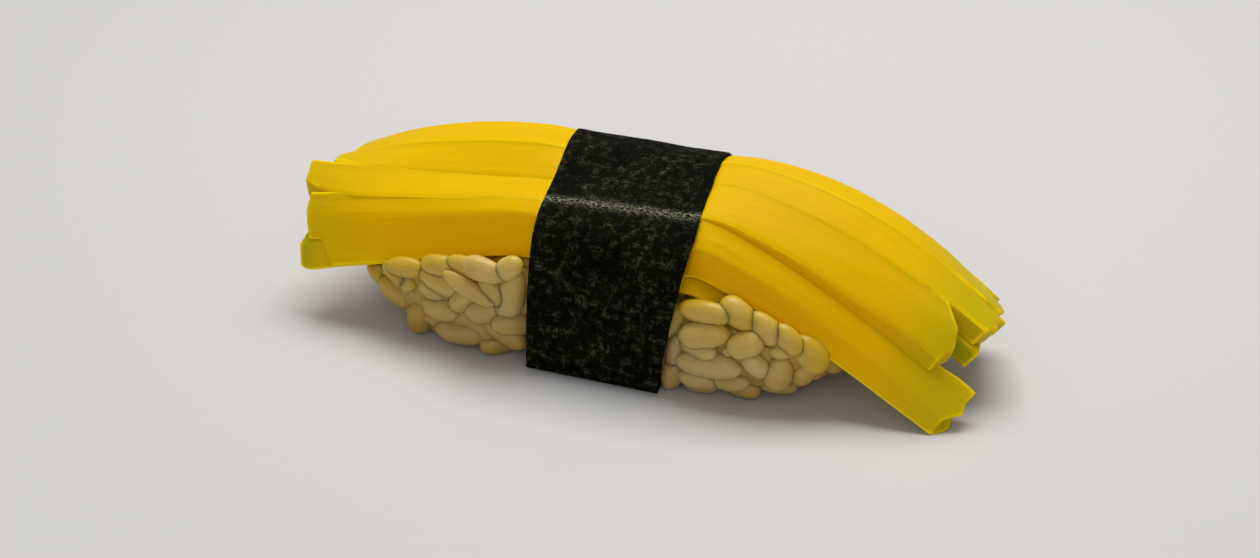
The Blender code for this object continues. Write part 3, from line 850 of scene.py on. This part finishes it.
def axisOf(normal, tilt):
    # a direction along the surface, tilted from level by an angle
    level = Vector((0, 0, 1)).cross(normal)
    if level.length < 0.2:
        level = Vector((1, 0, 0))
    level = level.normalized()
    up = normal.cross(level).normalized()
    return (level * math.cos(tilt) + up * math.sin(tilt)).normalized()


def fixedGrain(centre, normal, length, width, tilt):
    # a grain that stays where it is put, lying along the face it is on
    angle = math.radians(tilt)
    axis = Vector((math.cos(angle), 0, math.sin(angle)))
    axis = (axis - normal * axis.dot(normal)).normalized()
    return dict(centre=centre, axis=axis, normal=normal, length=length, width=width,
                depth=width * riceGrains["frontDepth"], fixed=True, layer=0)


def placeFrontGrains():
    grains = []
    for x, z, length, width, tilt, out in frontGrains:
        hit, normal = riceTree.ray_cast(Vector((x, -30.0, z)), Vector((0, 1, 0)))[:2]
        if hit is None:
            hit, normal = riceTree.find_nearest(Vector((x, -11.0, z)))[:2]
        # the grains at the front mostly face forward, whatever the heap does behind them
        normal = (normal * 0.5 + Vector((0, -1, 0.12)) * 0.6).normalized()
        centre = Vector((x, hit.y, z)) + normal * (out - width * riceGrains["sink"])
        grains.append(fixedGrain(centre, normal, length, width, tilt))
    for x, y, z, length, width, tilt in tuckedGrains:
        normal = Vector((0, -1, 0.1)).normalized()
        grains.append(fixedGrain(Vector((x, y, z)), normal, length, width, tilt))
    return grains


def randomPoint(rng, rice, sums):
    # a point on the heap's skin, as likely in one place as in another, and the way it faces
    polygon = rice.data.polygons[int(np.searchsorted(sums, rng.random() * sums[-1]))]
    a, b, c = [rice.data.vertices[i].co / mm for i in polygon.vertices[:3]]
    u, v = rng.random(), rng.random()
    if u + v > 1:
        u, v = 1 - u, 1 - v
    return a + (b - a) * u + (c - a) * v, polygon.normal.copy()


def hidden(point, normal):
    # nothing is laid inside the band, or under the radish away from its edges
    look = riceGrains
    left, right = bandEdges(point.y, point.z)
    if left + look["clearOfBand"] < point.x < right - look["clearOfBand"]:
        return True
    start = point + Vector((0, 0, look["coverStart"]))
    covered = stripTree.ray_cast(start, Vector((0, 0, 1)), look["coverReach"])[0]
    return covered is not None and abs(point.y) < look["coverHalf"] and normal.z > look["coverSlope"]


def scatterGrains(fixed):
    look = riceGrains
    rng = random.Random(41)
    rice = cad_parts["rice"]
    sums = np.cumsum([p.area for p in rice.data.polygons])
    grains = list(fixed)
    for layer, depth in enumerate(look["layerDepths"]):
        centres = [g["centre"] for g in grains] if layer == 0 else []
        for _ in range(look["tries"]):
            point, normal = randomPoint(rng, rice, sums)
            if hidden(point, normal):
                continue
            centre = point - normal * depth
            if any((centre - other).length < look["spacing"] for other in centres):
                continue
            if layer == 0 and any(alongGrain(centre, g) < look["clearOfFront"] for g in fixed):
                continue
            centres.append(centre)
            size = rng.uniform(0.86, 1.1)
            axis = axisOf(normal, rng.uniform(0, math.pi))
            grains.append(dict(centre=centre, normal=normal, axis=axis,
                               length=look["length"] * size * rng.uniform(0.9, 1.06),
                               width=look["width"] * size,
                               depth=look["depth"] * size * rng.uniform(0.9, 1.08),
                               fixed=False, layer=layer))
    return grains


def alongGrain(point, grain):
    # distance from a point to the middle line of a grain
    half = (grain["length"] - grain["width"]) / 2
    along = max(-half, min(half, (point - grain["centre"]).dot(grain["axis"])))
    return (point - grain["centre"] - grain["axis"] * along).length


def closestOnSegments(p, d, h, q, e, k):
    # closest points of two short segments, by centre, direction and half length
    r = p - q
    de = d.dot(e)
    dr = d.dot(r)
    er = e.dot(r)
    denominator = 1.0 - de * de
    s = 0.0 if denominator < 1e-5 else (de * er - dr) / denominator
    s = max(-h, min(h, s))
    t = max(-k, min(k, de * s + er))
    s = max(-h, min(h, de * t - dr))
    return s, t


def settleGrains(grains):
    # grains push each other apart until they only touch, and stay under the heap's skin
    look = riceGrains
    for _ in range(look["rounds"]):
        tree = KDTree(len(grains))
        for i, g in enumerate(grains):
            tree.insert(g["centre"], i)
        tree.balance()
        for i, g in enumerate(grains):
            if g["fixed"]:
                continue
            push = Vector((0, 0, 0))
            twist = Vector((0, 0, 0))
            for _, j, _ in tree.find_range(g["centre"], look["searchRange"]):
                if j == i:
                    continue
                o = grains[j]
                half = (g["length"] - g["width"]) / 2 * 0.9
                otherHalf = (o["length"] - o["width"]) / 2 * 0.9
                s, t = closestOnSegments(g["centre"], g["axis"], half, o["centre"], o["axis"], otherHalf)
                gap = (g["centre"] + g["axis"] * s) - (o["centre"] + o["axis"] * t)
                reach = (g["width"] + o["width"]) * 0.5 * look["reach"]
                if 1e-4 < gap.length < reach:
                    amount = (reach - gap.length) * (0.9 if o["fixed"] else 0.5)
                    away = gap.normalized() * amount
                    push += away
                    twist += away * (s / max(half, 0.5)) * 0.25
            if push.length > 0.8:
                push = push.normalized() * 0.8
            g["centre"] = g["centre"] + push * 0.6
            g["axis"] = (g["axis"] + twist * 0.25).normalized()
            hit, normal = riceTree.find_nearest(g["centre"])[:2]
            inside = (hit - g["centre"]).dot(normal)
            wanted = g["width"] * look["sink"] if g["layer"] == 0 else look["innerSink"]
            if g["layer"] == 0:
                g["centre"] = g["centre"] + normal * (inside - wanted) * 0.6
            elif inside < wanted:
                g["centre"] = g["centre"] + normal * (inside - wanted) * 0.4
            flat = g["axis"] - normal * g["axis"].dot(normal)
            g["axis"] = (g["axis"] * 0.7 + flat.normalized() * 0.3).normalized()
            g["normal"] = normal
    return grains


def keepInBand(point):
    # grains that reach under the nori are pressed flat against it
    left, right = bandEdges(point.y, point.z)
    if left < point.x < right:
        limit = riceGrains["pressedTo"] - max(point.z - 9.0, 0.0) * riceGrains["pressedLean"]
        point.y = max(min(point.y, limit), -limit)
    return point


def layGrains(grains, shapes, name, seed):
    # every grain is a copy of one of the shapes, turned and sized, in one piece
    look = riceGrains
    rng = random.Random(seed)
    mesh = bmesh.new()
    chances = []
    for g in grains:
        shape = shapes[rng.randrange(len(shapes))]
        axis = g["axis"] * rng.choice((-1, 1))
        out = (g["normal"] - axis * g["normal"].dot(axis)).normalized()
        out = Matrix.Rotation(rng.uniform(-0.5, 0.5), 3, axis) @ out
        side = out.cross(axis).normalized()
        turn = Matrix((axis, side, out)).transposed()
        matrix = turn @ Matrix.Diagonal((g["length"], g["width"], g["depth"]))
        centre = g["centre"].copy()
        lowest = min((matrix @ v.co).z for v in shape.data.vertices) + centre.z
        centre.z += max(look["floorGap"] - lowest, 0.0)
        points = [mesh.verts.new(keepInBand(matrix @ v.co + centre) * mm) for v in shape.data.vertices]
        for polygon in shape.data.polygons:
            face = mesh.faces.new([points[i] for i in polygon.vertices])
            face.smooth = True
        chances += [rng.random()] * len(points)
    data = bpy.data.meshes.new(name)
    mesh.to_mesh(data)
    mesh.free()
    piece = bpy.data.objects.new(name, data)
    scene.collection.objects.link(piece)
    # the radish stains the grains that lie near it, and painted yellow light bounced from the radish is
    # added to that; the low ones are painted darker as shade, and the outer ones are deeper in colour
    stainAndBounceLight, toneAndShade = [], []
    for vertex, chance in zip(data.vertices, chances):
        point = vertex.co / mm
        away = stripTree.find_nearest(point)[3]
        stainAndBounceLight.append(look["stainAndBounceLight"] * math.exp(-max(away - look["stainAndBounceFrom"], 0.0) / look["stainAndBounceRun"]))
        outward = min(max((abs(point.x) - 20.0) / 8.0, 0.0), 1.0)
        if point.x < 0:
            outward += look["toneLeft"]
        # painted shade: low grains are darker; outer and left ones are deeper in colour, and some at
        # random
        deep = look["toneChance"] * chance + look["lowShade"] * (1.0 - point.z / 8.0)
        deep += look["toneOut"] * outward
        toneAndShade.append(look["toneMost"] * min(max(deep, 0.0), 1.0))
    setAttribute(piece, "stainAndBounceLight", stainAndBounceLight)
    setAttribute(piece, "toneAndShade", toneAndShade)
    setAttribute(piece, "gloss", [1.0] * len(toneAndShade))
    return piece


def makeFilling():
    # rice that the band presses up against, out to a little inside its two edges
    profile = bandProfile()[0]
    ring = [point for length, point in profile[::5] if length > riceHeap["afterLap"]]
    middle = Vector((0.0, 9.0))
    mesh = bmesh.new()
    sides = []
    for edge, inwards in ((0, riceHeap["fillingEnds"]), (1, -riceHeap["fillingEnds"])):
        row = []
        for point in ring:
            place = Vector((point.x, (point.y, point.z)[edge]))
            place += (middle - place).normalized() * riceHeap["fillingInset"]
            place.y = min(place.y, riceHeap["fillingTop"])
            x = bandEdges(point.x, place.y)[edge] + inwards
            row.append(mesh.verts.new(Vector((x, place.x, place.y)) * mm))
        sides.append(row)
    count = len(ring)
    for i in range(count):
        j = (i + 1) % count
        mesh.faces.new((sides[0][i], sides[0][j], sides[1][j], sides[1][i]))
    mesh.faces.new(sides[0][::-1])
    mesh.faces.new(sides[1])
    bmesh.ops.triangulate(mesh, faces=mesh.faces)
    bmesh.ops.recalc_face_normals(mesh, faces=mesh.faces)
    data = bpy.data.meshes.new("Filling")
    mesh.to_mesh(data)
    mesh.free()
    filling = bpy.data.objects.new("Filling", data)
    scene.collection.objects.link(filling)
    return filling


def makeCore():
    # the heap inside the grains, a little smaller than its outline except under the band
    look = riceHeap
    piece = riceCore
    filling = makeFilling()
    activate(piece)
    filling.select_set(True)
    bpy.ops.object.join()
    remesh = piece.modifiers.new("Skin", "REMESH")
    remesh.mode = "VOXEL"
    remesh.voxel_size = look["voxel"] * mm
    smooth = piece.modifiers.new("Soften", "SMOOTH")
    smooth.iterations = 6
    applyAll(piece)
    co = coords(piece)
    normals = np.array([v.normal for v in piece.data.vertices])
    stainAndBounceLight = []
    for i, (point, normal) in enumerate(zip(co, normals)):
        left, right = bandEdges(point[1], point[2])
        inBand = ease(point[0] - left) * ease(right - point[0])
        inset = look["inset"]
        for scale, height in look["bumps"]:
            inset -= height * noise.noise(Vector(point) * scale)
        co[i] = point - normal * inset * (1.0 - inBand)
        # staining near the radish, with painted yellow light bounced from it
        away = stripTree.find_nearest(Vector(co[i]))[3]
        stainAndBounceLight.append(look["stainAndBounceLight"] * math.exp(-away / look["stainAndBounceRun"]))
    setCoords(piece, co)
    activate(piece)
    bpy.ops.object.shade_smooth()
    setAttribute(piece, "stainAndBounceLight", stainAndBounceLight)
    # painted shade: the core shows only between the grains and takes the deep colour there
    setAttribute(piece, "toneAndShade", [look["toneAndShade"]] * len(co))
    setAttribute(piece, "gloss", [0.0] * len(co))
    return piece


heroShapes = grainShapes("HeroGrain", 6, 14, 10, 3)
plainShapes = grainShapes("PlainGrain", 6, 8, 7, 5)
front = placeFrontGrains()
grains = settleGrains(scatterGrains(front))
hero = layGrains(grains[:len(front)], heroShapes, "RiceGrainsFront", 11)
heap = layGrains(grains[len(front):], plainShapes, "RiceGrainsHeap", 12)
core = makeCore()
for shape in heroShapes + plainShapes:
    bpy.data.objects.remove(shape)
print("rice:", len(front), "front grains,", len(grains) - len(front), "others")

radishMaterial = makeRadishMaterial()
riceMaterial = makeRiceMaterial()
noriMaterial = makeNoriMaterial()
for nodeName, piece in strips.items():
    piece.data.materials.append(radishMaterial)
    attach(piece, "root")
    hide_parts(nodeName)
nori.data.materials.append(noriMaterial)
activate(nori)
bpy.ops.object.shade_smooth()
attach(nori, "root")
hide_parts("nori_band")
for piece in (core, hero, heap):
    piece.data.materials.clear()
    piece.data.materials.append(riceMaterial)
    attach(piece, "root")
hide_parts("rice")
print("finishes set")
